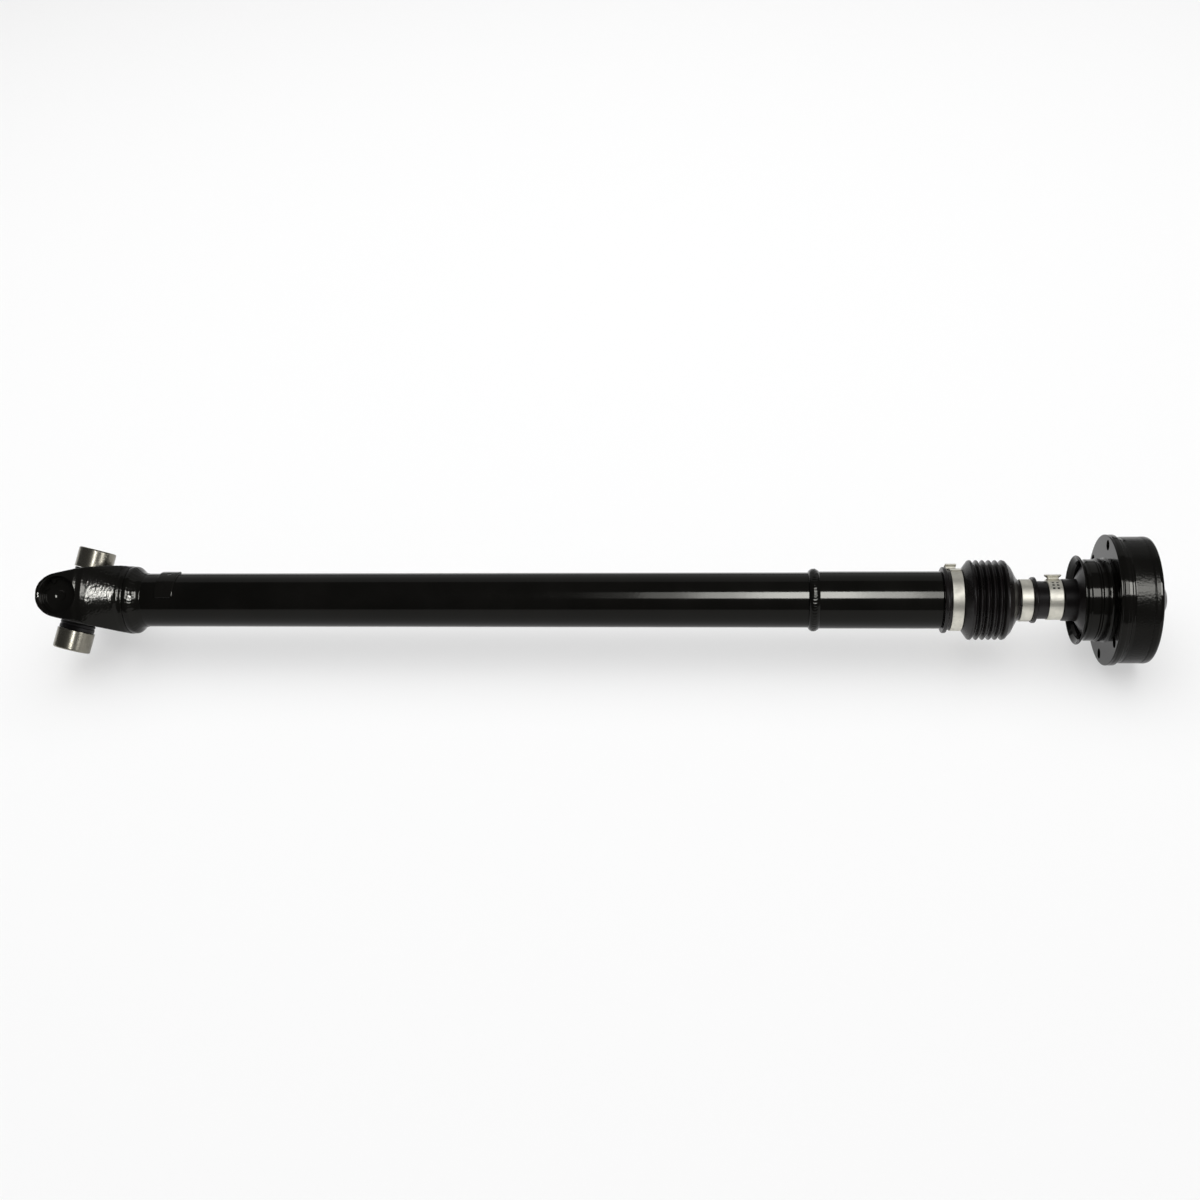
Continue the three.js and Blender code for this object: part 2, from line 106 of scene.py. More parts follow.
def face_outward(mesh):
    """Makes a closed mesh's normals point out."""
    work = bmesh.new()
    work.from_mesh(mesh)
    bmesh.ops.recalc_face_normals(work, faces=work.faces)
    if work.calc_volume(signed=True) < 0:
        bmesh.ops.reverse_faces(work, faces=work.faces)
    work.to_mesh(mesh)
    work.free()


def shade(mesh, degrees=35.0):
    mesh.shade_smooth()
    mesh.set_sharp_from_angle(angle=math.radians(degrees))


def rounded(points, steps=4, closed=True):
    """Points are (x, r) or (x, r, corner radius): each corner with a radius becomes an arc."""
    out = []
    count = len(points)
    for i, point in enumerate(points):
        radius = point[2] if len(point) > 2 else 0.0
        here = Vector(point[:2])
        if radius <= 0.0 or (not closed and i in (0, count - 1)):
            out.append((here.x, here.y))
            continue
        before = Vector(points[i - 1][:2]) - here
        after = Vector(points[(i + 1) % count][:2]) - here
        half = before.angle(after) / 2.0
        reach = min(radius / math.tan(half), before.length * 0.49, after.length * 0.49)
        start = here + before.normalized() * reach
        end = here + after.normalized() * reach
        for k in range(steps + 1):
            t = k / steps
            curve = start * (1 - t) ** 2 + here * (2 * t * (1 - t)) + end * t ** 2
            out.append((curve.x, curve.y))
    return out


def held(profile, closed, near=0.35):
    """Adds a point close to each end of every long straight stretch, so that flats shade flat beside edges."""
    out = []
    last = len(profile) - 1
    for i, point in enumerate(profile):
        out.append(point)
        if i == last and not closed:
            break
        here, there = Vector(point), Vector(profile[(i + 1) % len(profile)])
        if (there - here).length > 3.5 * near and max(here.y, there.y) > 4 * near:
            step = (there - here).normalized() * near
            out += [tuple(here + step), tuple(there - step)]
    return out


def revolve(name, profile, segments=160, warp=None, axis=SHAFT, closed=True):
    """A closed body of revolution about an axis through the cross centre, from (x, r) points."""
    profile = held(profile, closed)
    spin = SHAFT.rotation_difference(axis)
    verts = []
    rings = []
    for x, r in profile:
        if r < 1e-6:
            rings.append([len(verts)])
            verts.append(Vector((x, 0.0, 0.0)))
            continue
        ring = []
        for k in range(segments):
            angle = 2 * math.pi * k / segments
            px, pr = warp(x, r, angle) if warp else (x, r)
            ring.append(len(verts))
            verts.append(Vector((px, -pr * math.sin(angle), pr * math.cos(angle))))
        rings.append(ring)
    faces = []
    pairs = list(zip(rings, rings[1:]))
    if closed and len(rings[0]) > 1 and len(rings[-1]) > 1:
        pairs.append((rings[-1], rings[0]))
    for first, second in pairs:
        for k in range(segments):
            j = (k + 1) % segments
            if len(first) == 1 and len(second) == 1:
                break
            if len(first) == 1:
                faces.append((first[0], second[k], second[j]))
            elif len(second) == 1:
                faces.append((first[k], second[0], first[j]))
            else:
                faces.append((first[k], second[k], second[j], first[j]))
    placed = [CROSS + spin @ (v * MM) for v in verts]
    mesh = mesh_from(name, placed, faces)
    face_outward(mesh)
    shade(mesh)
    return mesh


def at_angle(angle):
    """Unit vector square to the shaft, turned from +Z toward -Y."""
    return Vector((0.0, -math.sin(angle), math.cos(angle)))


def finished(piece, material, body, *nodes):
    piece.data.materials.clear()
    piece.data.materials.append(material)
    if body:
        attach(piece, body)
    if nodes:
        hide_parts(*nodes)
    return piece


def baked(piece):
    """Applies a piece's modifiers into its mesh."""
    bpy.context.view_layer.update()
    graph = bpy.context.evaluated_depsgraph_get()
    mesh = bpy.data.meshes.new_from_object(piece.evaluated_get(graph))
    old = piece.data
    piece.modifiers.clear()
    piece.data = mesh
    bpy.data.meshes.remove(old)
    return piece


def combine(piece, tool_mesh, operation):
    tool = add_object("tool", tool_mesh)
    modifier = piece.modifiers.new("cut", "BOOLEAN")
    modifier.object = tool
    modifier.operation = operation
    modifier.solver = "EXACT"
    baked(piece)
    bpy.data.objects.remove(tool)
    return piece


def prism(name, outline, depth, matrix):
    """An outline in the local XY plane pushed through a depth centred on it."""
    count = len(outline)
    verts = [matrix @ (Vector((x, y, z)) * MM) for z in (-depth / 2, depth / 2) for x, y in outline]
    faces = [tuple(range(count))[::-1], tuple(range(count, 2 * count))]
    for k in range(count):
        j = (k + 1) % count
        faces.append((k, j, count + j, count + k))
    mesh = mesh_from(name, verts, faces)
    face_outward(mesh)
    return mesh


def roughen(mesh, size, depth, where=None):
    """Moves vertices in and out along their normals by smooth noise; size and depth in millimetres."""
    normals = [v.normal.copy() for v in mesh.vertices]
    for vertex, normal in zip(mesh.vertices, normals):
        share = where(vertex.co) if where else 1.0
        if share > 0.0:
            value = noise.noise(vertex.co / (size * MM)) + 0.5 * noise.noise(vertex.co / (size * MM * 0.45))
            vertex.co += normal * (value * depth * MM * share)
    mesh.update()


# ---------------------------------------------------------------- materials
class Nodes:
    """A small helper that adds nodes to one material."""

    def __init__(self, name):
        self.material = bpy.data.materials.new(name)
        self.material.use_nodes = True
        self.tree = self.material.node_tree
        self.tree.nodes.clear()
        self.output = self.tree.nodes.new("ShaderNodeOutputMaterial")
        self.shader = self.tree.nodes.new("ShaderNodeBsdfPrincipled")
        self.link(self.shader.outputs[0], self.output.inputs[0])
        coordinates = self.tree.nodes.new("ShaderNodeTexCoord")
        self.place = coordinates.outputs["Object"]

    def link(self, source, target):
        self.tree.links.new(source, target)

    def mapped(self, turn, scale):
        node = self.tree.nodes.new("ShaderNodeMapping")
        node.inputs["Rotation"].default_value = turn
        node.inputs["Scale"].default_value = scale
        self.link(self.place, node.inputs["Vector"])
        return node.outputs[0]

    def noise(self, scale, detail, roughness, vector=None):
        node = self.tree.nodes.new("ShaderNodeTexNoise")
        node.inputs["Scale"].default_value = scale
        node.inputs["Detail"].default_value = detail
        node.inputs["Roughness"].default_value = roughness
        self.link(vector or self.place, node.inputs["Vector"])
        return node.outputs["Fac"]

    def cells(self, scale):
        node = self.tree.nodes.new("ShaderNodeTexVoronoi")
        node.inputs["Scale"].default_value = scale
        self.link(self.place, node.inputs["Vector"])
        return node.outputs["Distance"]

    def ranged(self, value, low, high, to_low, to_high):
        node = self.tree.nodes.new("ShaderNodeMapRange")
        for key, number in zip(("From Min", "From Max", "To Min", "To Max"), (low, high, to_low, to_high)):
            node.inputs[key].default_value = number
        self.link(value, node.inputs["Value"])
        return node.outputs[0]

    def added(self, first, second, operation="ADD"):
        node = self.tree.nodes.new("ShaderNodeMath")
        node.operation = operation
        for socket, value in zip(node.inputs, (first, second)):
            if isinstance(value, (int, float)):
                socket.default_value = value
            else:
                self.link(value, socket)
        return node.outputs[0]

    def mixed(self, factor, first, second):
        node = self.tree.nodes.new("ShaderNodeMix")
        node.data_type = "RGBA"
        self.link(factor, node.inputs[0])
        for socket, value in zip((node.inputs[6], node.inputs[7]), (first, second)):
            if isinstance(value, tuple):
                socket.default_value = (*value, 1.0)
            else:
                self.link(value, socket)
        return node.outputs[2]

    def bump(self, height, distance_mm):
        node = self.tree.nodes.new("ShaderNodeBump")
        node.inputs["Strength"].default_value = 1.0
        node.inputs["Distance"].default_value = distance_mm * MM
        self.link(height, node.inputs["Height"])
        previous = self.shader.inputs["Normal"].links
        if previous:
            self.link(previous[0].from_socket, node.inputs["Normal"])
        self.link(node.outputs[0], self.shader.inputs["Normal"])

    def set(self, **values):
        for key, value in values.items():
            socket = self.shader.inputs[key.replace("_", " ")]
            if isinstance(value, tuple):
                socket.default_value = (*value, 1.0)
            elif isinstance(value, (int, float)):
                socket.default_value = value
            else:
                self.link(value, socket)


ENAMEL_IOR = 1.245
ENAMEL_TINT = (1.0, 0.99, 0.93)
RUBBER_IOR = 1.36


def gloss_paint(name, cast=0.0, peel=1.0, dull=0.0, level=0.5):
    """Black enamel: orange peel, faint dust and a slightly uneven gloss; cast adds sand-casting grain."""
    n = Nodes(name)
    cloud = n.noise(26.0, 3.0, 0.55)
    dust = n.ranged(n.noise(1900.0, 2.0, 0.6), 0.66, 0.76, 0.0, 1.0)
    film = n.mixed(n.ranged(cloud, 0.35, 0.7, 0.0, 1.0), (0.0012, 0.00115, 0.001), (0.0019, 0.0018, 0.0016))
    n.set(Base_Color=n.mixed(n.added(dust, 0.35, "MULTIPLY"), film, (0.008, 0.0078, 0.007)))
    gloss = n.ranged(cloud, 0.3, 0.75, 0.075 + dull, 0.125 + 1.5 * dull)
    n.set(Roughness=n.added(gloss, n.added(dust, 0.12, "MULTIPLY")))
    n.set(IOR=ENAMEL_IOR, Specular_IOR_Level=level, Specular_Tint=ENAMEL_TINT)
    n.bump(n.noise(420.0, 2.0, 0.5), 0.010 * peel)
    if cast:
        n.bump(n.noise(900.0, 3.0, 0.6), 0.12 * cast)
        n.bump(n.cells(620.0), 0.08 * cast)
    return n.material


def turned_steel(name, axis, base, dark, rough, lines=1.0, oil=0.0):
    """Ground or turned steel with fine marks round an axis, faint stains and polished patches."""
    n = Nodes(name)
    turn = Quaternion(axis.rotation_difference(SHAFT)).to_euler()
    fine = n.mapped((turn.x, turn.y, turn.z), (9000.0, 60.0, 60.0))
    coarse = n.mapped((turn.x, turn.y, turn.z), (1500.0, 30.0, 30.0))
    marks = n.noise(1.0, 2.0, 0.6, fine)
    bands = n.noise(1.0, 2.0, 0.5, coarse)
    stain = n.noise(90.0, 4.0, 0.6)
    tone = n.mixed(n.ranged(stain, 0.35, 0.72, 0.0, 1.0), base, dark)
    n.set(Base_Color=tone, Metallic=1.0)
    polish = n.ranged(marks, 0.3, 0.7, rough * 0.85, rough * 1.15)
    n.set(Roughness=n.added(polish, n.ranged(stain, 0.4, 0.8, 0.0, 0.08 + oil)))
    n.bump(marks, 0.006 * lines)
    n.bump(bands, 0.006 * lines)
    return n.material


def rubber(name, base, dusty, rough, grain=1.0):
    """Moulded rubber: fine matt grain, a little bloom and brown-grey dust."""
    n = Nodes(name)
    bloom = n.noise(55.0, 4.0, 0.6)
    dust = n.ranged(n.noise(2300.0, 2.0, 0.6), 0.62, 0.74, 0.0, 1.0)
    film = n.mixed(n.ranged(bloom, 0.38, 0.7, 0.0, 1.0), base, dusty)
    n.set(Base_Color=n.mixed(n.added(dust, 0.3, "MULTIPLY"), film, (0.03, 0.027, 0.025)))
    n.set(Roughness=n.ranged(bloom, 0.3, 0.75, rough - 0.07, rough + 0.1), IOR=RUBBER_IOR)
    n.bump(n.noise(2600.0, 3.0, 0.6), 0.03 * grain)
    n.bump(n.noise(240.0, 2.0, 0.5), 0.05 * grain)
    return n.material


def band_steel(name):
    """Bright rolled strip: long faint rolling lines round the band, soft smears and small scuffs."""
    n = Nodes(name)
    rolled = n.noise(1.0, 2.0, 0.6, n.mapped((0.0, 0.0, 0.0), (5200.0, 70.0, 70.0)))
    smear = n.noise(140.0, 4.0, 0.6)
    scratches = n.noise(1.0, 3.0, 0.6, n.mapped((0.4, 0.2, 0.3), (300.0, 2200.0, 900.0)))
    scuff = n.ranged(scratches, 0.62, 0.72, 0.0, 1.0)
    tone = n.mixed(n.ranged(smear, 0.35, 0.7, 0.0, 1.0), (0.74, 0.72, 0.64), (0.60, 0.585, 0.52))
    n.set(Base_Color=n.mixed(n.added(scuff, 0.5, "MULTIPLY"), tone, (0.40, 0.39, 0.37)), Metallic=1.0)
    n.set(Roughness=n.added(n.ranged(smear, 0.3, 0.7, 0.36, 0.46), n.added(scuff, 0.1, "MULTIPLY")))
    n.bump(rolled, 0.006)
    n.bump(scuff, 0.008)
    return n.material


PAINT = gloss_paint("gloss_black_enamel")
PAINT_CAST = gloss_paint("enamel_over_casting", cast=0.55, peel=0.8, dull=0.01)
PAINT_WELD = gloss_paint("enamel_over_weld", cast=0.25, peel=1.5, dull=0.02)
PAINT_DULL = gloss_paint("enamel_over_forging", cast=0.9, peel=2.0, dull=0.11, level=0.32)
CUP_STEEL = turned_steel("ground_cup_steel", FREE_AXIS, (0.27, 0.256, 0.216), (0.19, 0.18, 0.15), 0.25)
EAR_CUP_PAINT = gloss_paint("enamel_over_cup", peel=1.0)
MACHINED = turned_steel("turned_steel", SHAFT, (0.42, 0.42, 0.42), (0.30, 0.30, 0.30), 0.32, 1.4, 0.06)
CROSS_STEEL = turned_steel(
    "forged_cross_steel", FREE_AXIS, (0.20, 0.195, 0.19), (0.12, 0.115, 0.11), 0.42, 1.2, 0.08)
BALL_STEEL = turned_steel("bearing_ball_steel", SHAFT, (0.74, 0.74, 0.76), (0.66, 0.66, 0.68), 0.08, 0.3)
STUB_STEEL = turned_steel(
    "phosphated_stub_steel", SHAFT, (0.055, 0.052, 0.052), (0.03, 0.029, 0.03), 0.38, 1.2, 0.06)
CLAMP_STEEL = band_steel("rolled_clamp_band")
BOOT_RUBBER = rubber("bellows_rubber", (0.0088, 0.0072, 0.0070), (0.0125, 0.0104, 0.0098), 0.285, 0.5)
CV_RUBBER = rubber("cv_boot_rubber", (0.0085, 0.0066, 0.0068), (0.0125, 0.0100, 0.0102), 0.34)
SEAL_RUBBER = rubber("seal_rubber", (0.0065, 0.0052, 0.0056), (0.0095, 0.0078, 0.0082), 0.42, 0.6)
# Painted shade: the dark colour of the thin sheets laid in the clamp slots, where the band below is only in
# shadow.
SLOT_PAINTED_SHADE = rubber("painted_slot_shade", (0.006, 0.0055, 0.005), (0.01, 0.0092, 0.0085), 0.6)


# ---------------------------------------------------------------- tube yoke
EAR_TURN = Vector((0.0, 0.0, 1.0)).rotation_difference(EAR_AXIS).to_matrix().to_4x4()
TO_YOKE = Matrix.Translation(CROSS) @ EAR_TURN
BOSS_R = 17.2
EAR_FACE = 48.6
EAR_INNER = 27.0
NECK = (39.6, 26.9)


def arc(cx, cy, radius, start, end, steps):
    span = end - start
    return [
        (cx + radius * math.cos(start + span * k / steps), cy + radius * math.sin(start + span * k / steps))
        for k in range(steps + 1)
    ]


def make_yoke():
    tangent = math.atan2(NECK[1], NECK[0]) + math.acos(BOSS_R / math.hypot(*NECK))
    side = [(54.0, -NECK[1]), (54.0, NECK[1]), NECK]
    side += arc(0.0, 0.0, BOSS_R, tangent, 2 * math.pi - tangent, 56)
    side.append((NECK[0], -NECK[1]))
    half = [(54.0, EAR_FACE), (-BOSS_R - 2.0, EAR_FACE), (-BOSS_R - 2.0, EAR_INNER)]
    half += arc(21.0, 15.0, 12.0, math.pi / 2, 0.0, 12)
    fork = half + [(x, -y) for x, y in reversed(half)]
    lay_down = TO_YOKE @ Matrix.Rotation(math.pi / 2, 4, "X")
    yoke = add_object("yoke_casting", prism("yoke_casting", side, 108.0, TO_YOKE))
    combine(yoke, prism("fork", fork, 64.0, lay_down), "INTERSECT")
    envelope = revolve("envelope", [
        (-20.0, 0.0), (-20.0, 49.2), (12.4, 49.2), (14.2, 48.0), (18.6, 47.3), (21.6, 45.1), (36.6, 29.6),
        (37.9, 27.4), (38.6, 27.0), NECK, (41.3, 26.6), (41.3, 18.9), (46.0, 18.9), (46.0, 0.0)], 128)
    combine(yoke, envelope, "INTERSECT")
    remesh = yoke.modifiers.new("remesh", "REMESH")
    remesh.mode = "VOXEL"
    remesh.voxel_size = 0.62 * MM
    smooth = yoke.modifiers.new("smooth", "SMOOTH")
    smooth.factor = 0.5
    smooth.iterations = 9
    baked(yoke)

    def cast_share(point):
        local = point - CROSS
        reach = abs(local.dot(EAR_AXIS)) / MM
        fade = min(1.0, max(0.0, (EAR_FACE - 0.9 - reach) / 3.0))
        return fade * min(1.0, max(0.0, (38.4 - local.x / MM) / 2.0))

    roughen(yoke.data, 1.5, 0.055, cast_share)
    for sign in (1, -1):
        direction = EAR_AXIS * sign
        combine(yoke, revolve("bore", rounded([
            (16.0, 0.0), (16.0, 14.35), (41.05, 14.35), (41.05, 15.3), (42.75, 15.3), (42.75, 14.35),
            (47.7, 14.35), (49.4, 16.0), (49.4, 0.0)], closed=False), 128, axis=direction), "DIFFERENCE")
        combine(yoke, revolve("spot_face", [
            (48.25, 0.0), (48.25, 30.0), (53.0, 30.0), (53.0, 0.0)], 64, axis=direction), "DIFFERENCE")
    shade(yoke.data, 32.0)
    return finished(yoke, PAINT_CAST, "shaft_tube", "tube_yoke")


make_yoke()

# ---------------------------------------------------------------- cross, cups and seals
CUP_PROFILE = [
    (38.3, 0.0), (38.3, 11.6, 0.4), (25.1, 12.0), (24.9, 12.3, 0.2), (24.9, 14.3, 0.45), (40.9, 14.3, 1.5),
    (40.9, 4.2, 0.3), (40.35, 3.2, 0.3), (40.3, 0.0),
]
SEAL_PROFILE = [
    (18.35, 9.35), (18.35, 12.5, 0.5), (19.4, 13.3, 0.5), (20.6, 13.3, 0.3), (20.9, 12.85, 0.3),
    (21.6, 12.85, 0.3), (21.9, 13.35, 0.3), (24.55, 13.35, 0.25), (24.55, 9.35),
]
ARMS = (
    ("ear_near", EAR_AXIS, "shaft_tube"), ("ear_far", -EAR_AXIS, "shaft_tube"),
    ("free_upper", FREE_AXIS, "upper_cup"), ("free_lower", -FREE_AXIS, "lower_cup"),
)
for arm, direction, body in ARMS:
    cup_profile = rounded(CUP_PROFILE, 5, closed=False)
    cup_mesh = revolve(f"cup_{arm}_fine", cup_profile, 144, axis=direction, closed=False)
    shade(cup_mesh, 40.0)
    cup = add_object(f"bearing_cup_{arm}", cup_mesh)
    finished(cup, EAR_CUP_PAINT if body == "shaft_tube" else CUP_STEEL, body, f"cup_{arm}")
    seal_mesh = revolve(f"seal_{arm}_fine", rounded(SEAL_PROFILE, 4), 120, axis=direction)
    seal = add_object(f"lip_seal_{arm}", seal_mesh)
    finished(seal, SEAL_RUBBER, body, f"seal_{arm}")


def make_cross():
    hub = bpy.data.meshes.new("cross_hub")
    work = bmesh.new()
    bmesh.ops.create_icosphere(work, subdivisions=5, radius=14.6 * MM, matrix=Matrix.Translation(CROSS))
    work.to_mesh(hub)
    work.free()
    cross = add_object("cross_forging", hub)
    for _, direction, _ in ARMS:
        combine(cross, revolve("arm", [
            (0.0, 0.0), (0.0, 12.6), (10.0, 12.4), (17.6, 11.7), (17.6, 0.0)], 96, axis=direction), "UNION")
    remesh = cross.modifiers.new("remesh", "REMESH")
    remesh.mode = "VOXEL"
    remesh.voxel_size = 0.6 * MM
    smooth = cross.modifiers.new("smooth", "SMOOTH")
    smooth.iterations = 12
    baked(cross)
    roughen(cross.data, 2.2, 0.06)
    for _, direction, _ in ARMS:
        trunnion = rounded([
            (8.0, 0.0), (8.0, 9.0), (38.1, 9.0, 1.0), (38.1, 2.2, 0.2), (36.2, 1.6), (36.2, 0.0)],
            closed=False)
        combine(cross, revolve("trunnion", trunnion, 96, axis=direction, closed=False), "UNION")
    shade(cross.data, 35.0)
    return finished(cross, CROSS_STEEL, "joint_cross", "cross")


make_cross()


def make_snap_ring(name, start, end, inner, outer, axis, gap_angle, body, node):
    """A flat open ring with a lug at each end."""
    steps = 96
    span = 2 * math.pi - 2 * gap_angle
    spin = SHAFT.rotation_difference(axis)
    work = bmesh.new()
    rows = []
    for k in range(steps + 1):
        angle = gap_angle + span * k / steps
        from_end = min(k, steps - k) / steps * span * outer
        lug = inner - 2.2 * max(0.0, 1.0 - max(0.0, from_end - 2.6) / 1.6) if from_end < 4.2 else inner
        row = []
        for radius in (lug, outer):
            point = Vector((start, -radius * math.sin(angle), radius * math.cos(angle)))
            row.append(work.verts.new(CROSS + spin @ (point * MM)))
        rows.append(row)
    for first, second in zip(rows, rows[1:]):
        work.faces.new((first[0], first[1], second[1], second[0]))
    bmesh.ops.recalc_face_normals(work, faces=work.faces)
    mesh = bpy.data.meshes.new(name)
    work.to_mesh(mesh)
    work.free()
    piece = add_object(name, mesh)
    inside = mesh.polygons[0].normal.dot(spin @ SHAFT) < 0
    solid = piece.modifiers.new("thick", "SOLIDIFY")
    solid.thickness = (end - start) * MM
    solid.offset = -1.0 if inside else 1.0
    bevel = piece.modifiers.new("bevel", "BEVEL")
    bevel.width = 0.18 * MM
    bevel.segments = 2
    baked(piece)
    face_outward(piece.data)
    shade(piece.data)
    return finished(piece, MACHINED if node == "circlip" else PAINT, body, node)


for end, direction in (("near", EAR_AXIS), ("far", -EAR_AXIS)):
    make_snap_ring(
        f"ear_snap_ring_{end}", 41.15, 42.4, 12.3, 15.1, direction, 0.22, "shaft_tube", f"snap_ring_ear_{end}")
make_snap_ring("stub_circlip", 813.25, 814.4, 10.9, 13.5, SHAFT, 0.2, "slip_stub", "circlip")


# ---------------------------------------------------------------- tube, welds, balance weight and sleeve
def ripples(count, depth, bow, middle, width):
    """Weld ripples: crescents laid one over the next round the bead."""
    def warp(x, r, angle):
        across = (x - middle) / width
        wander = 0.35 * noise.noise(Vector((math.cos(angle) * 2.2, math.sin(angle) * 2.2, middle)))
        phase = (angle * count / (2 * math.pi) + bow * across * across + wander) % 1.0
        crest = math.sin(math.pi * phase ** 0.62)
        fade = max(0.0, 1.0 - abs(across) ** 4 * 12.0)
        spot = Vector((math.cos(angle) * 6.0, math.sin(angle) * 6.0, across * 2.0 + middle))
        lump = 0.16 * noise.noise(spot)
        return x + 0.25 * wander, r + (depth * crest + lump) * fade
    return warp


def bead_profile(points, steps):
    """A smooth open curve through (x, r) points, closed underneath by the last two corner points."""
    curve = []
    spine = points[:-2]
    for i in range(len(spine) - 1):
        p0, p1 = spine[max(i - 1, 0)], spine[i]
        p2, p3 = spine[i + 1], spine[min(i + 2, len(spine) - 1)]
        for k in range(steps):
            t = k / steps
            curve.append(tuple(
                0.5 * (2 * b + (c - a) * t + (2 * a - 5 * b + 4 * c - d) * t * t
                       + (3 * b - a - 3 * c + d) * t ** 3)
                for a, b, c, d in zip(p0, p1, p2, p3)))
    curve.append(spine[-1])
    return curve + [tuple(p) for p in points[-2:]]


yoke_bead = bead_profile([
    (41.35, 26.3), (42.6, 26.55), (44.2, 26.4), (45.6, 25.7), (47.0, 24.4), (48.8, 22.8), (50.6, 21.85),
    (53.6, 21.05), (53.6, 20.9), (41.4, 20.9)], 5)
weld = add_object("yoke_weld_bead", revolve(
    "yoke_weld_bead", yoke_bead, 640, ripples(46, 0.10, 1.3, 47.0, 6.6)))
shade(weld.data, 80.0)
finished(weld, PAINT_WELD, "shaft_tube", "yoke_weld")

tube = add_object("plain_tube", revolve("plain_tube", [
    (41.6, 19.1), (41.6, 20.8), (41.8, 21.0), (573.3, 21.0), (573.5, 20.8), (573.5, 19.1)], 192))
finished(tube, PAINT, "shaft_tube", "tube")

sleeve_bead = bead_profile([
    (570.3, 21.05), (570.9, 22.2), (572.2, 23.3), (574.2, 23.65), (576.4, 23.4), (578.0, 22.5), (578.7, 21.75),
    (578.7, 20.9), (570.3, 20.9)], 6)
weld = add_object("sleeve_weld_bead", revolve(
    "sleeve_weld_bead", sleeve_bead, 720, ripples(58, 0.2, 1.6, 574.5, 4.3)))
shade(weld.data, 80.0)
finished(weld, PAINT_WELD, "shaft_tube", "sleeve_weld")

sleeve = add_object("slip_joint_sleeve", revolve("slip_joint_sleeve", rounded([
    (573.8, 17.5), (573.8, 21.7, 0.4), (669.0, 21.7, 0.3), (669.5, 20.6, 0.3), (684.9, 20.6, 0.8),
    (684.9, 17.5, 0.3)], 4), 192))
finished(sleeve, PAINT, "shaft_tube", "slip_sleeve")


def make_balance_weight():
    """A thin curved plate with rounded corners and two plug-weld dimples."""
    x0, x1 = 65.3, 80.3
    centre = -ELEVATION + math.radians(43.0)
    half = math.radians(43.5)
    seat_r, bend_r, plate, edge_r, corner, spot_r = 21.1, 21.5, 1.3, 0.7, 3.0, 2.6
    nu, nv = 60, 120
    work = bmesh.new()
    grid = []
    for i in range(nu + 1):
        row = []
        for k in range(nv + 1):
            u = 2.0 * i / nu - 1.0
            v = 2.0 * k / nv - 1.0
            x = (x0 + x1) / 2 + u * (x1 - x0) / 2
            arc_mm = v * half * bend_r
            edge_u = (x1 - x0) / 2 * (1 - abs(u))
            edge_v = bend_r * half * (1 - abs(v))
            rim = min(edge_u, edge_v, 9.0)
            if edge_u < corner and edge_v < corner:
                du, dv = corner - edge_u, corner - edge_v
                far = math.hypot(du, dv)
                if far > corner:
                    x -= math.copysign(du * (1 - corner / far), u)
                    arc_mm -= math.copysign(dv * (1 - corner / far), v)
                    rim = min(edge_u, edge_v, 0.8)
            soft = min(1.0, rim / edge_r)
            top = seat_r + plate * math.sqrt(max(0.0, 1 - (1 - soft) ** 2))
            for spot in (-0.45, 0.45):
                reach = math.hypot(x - (x0 + x1) / 2, (v - spot) * half * bend_r)
                if reach < spot_r:
                    top -= 0.42 * (0.5 + 0.5 * math.cos(math.pi * reach / spot_r))
            angle = centre + arc_mm / bend_r
            point = Vector((x, -top * math.sin(angle), top * math.cos(angle)))
            row.append(work.verts.new(CROSS + point * MM))
        grid.append(row)
    for i in range(nu):
        for k in range(nv):
            work.faces.new((grid[i][k], grid[i + 1][k], grid[i + 1][k + 1], grid[i][k + 1]))
    rims = (grid[0], grid[-1], [row[0] for row in grid], [row[-1] for row in grid])
    lower = {}
    for row in rims:
        for vertex in row:
            if vertex not in lower:
                local = vertex.co - CROSS
                flat = Vector((0.0, local.y, local.z)).normalized() * (21.02 * MM)
                lower[vertex] = work.verts.new(CROSS + Vector((local.x, flat.y, flat.z)))
    for row in rims:
        for a, b in zip(row, row[1:]):
            work.faces.new((a, b, lower[b], lower[a]))
    bmesh.ops.holes_fill(work, edges=[e for e in work.edges if e.is_boundary], sides=0)
    bmesh.ops.recalc_face_normals(work, faces=work.faces)
    mesh = bpy.data.meshes.new("balance_plate")
    work.to_mesh(mesh)
    work.free()
    face_outward(mesh)
    shade(mesh, 50.0)
    return finished(add_object("balance_plate", mesh), PAINT_WELD, "shaft_tube", "balance_weight")


make_balance_weight()


# ---------------------------------------------------------------- stub shaft
def spline_teeth(x, r, angle):
    if x > 722.0 or r < 11.4:
        return x, r
    fade = min(1.0, max(0.0, (719.0 - x) / 3.0))
    share = (angle * 16 / (2 * math.pi)) % 1.0
    valley = min(1.0, max(0.0, (abs(share - 0.5) - 0.2) / 0.1))
    return x, r - 1.4 * valley * fade


stub = add_object("splined_stub", revolve("splined_stub", rounded([
    (598.6, 0.0), (598.6, 10.2, 0.5), (600.4, 11.9), (602.0, 13.05), (718.5, 13.05), (722.0, 13.05),
    (741.8, 13.05, 0.7), (741.8, 12.0, 0.3), (813.1, 12.0), (813.1, 10.6), (814.6, 10.6), (814.6, 12.0),
    (816.4, 12.0, 0.9), (816.4, 0.0)], 4, closed=False), 192, spline_teeth, closed=False))
finished(stub, STUB_STEEL, "slip_stub", "stub_shaft")


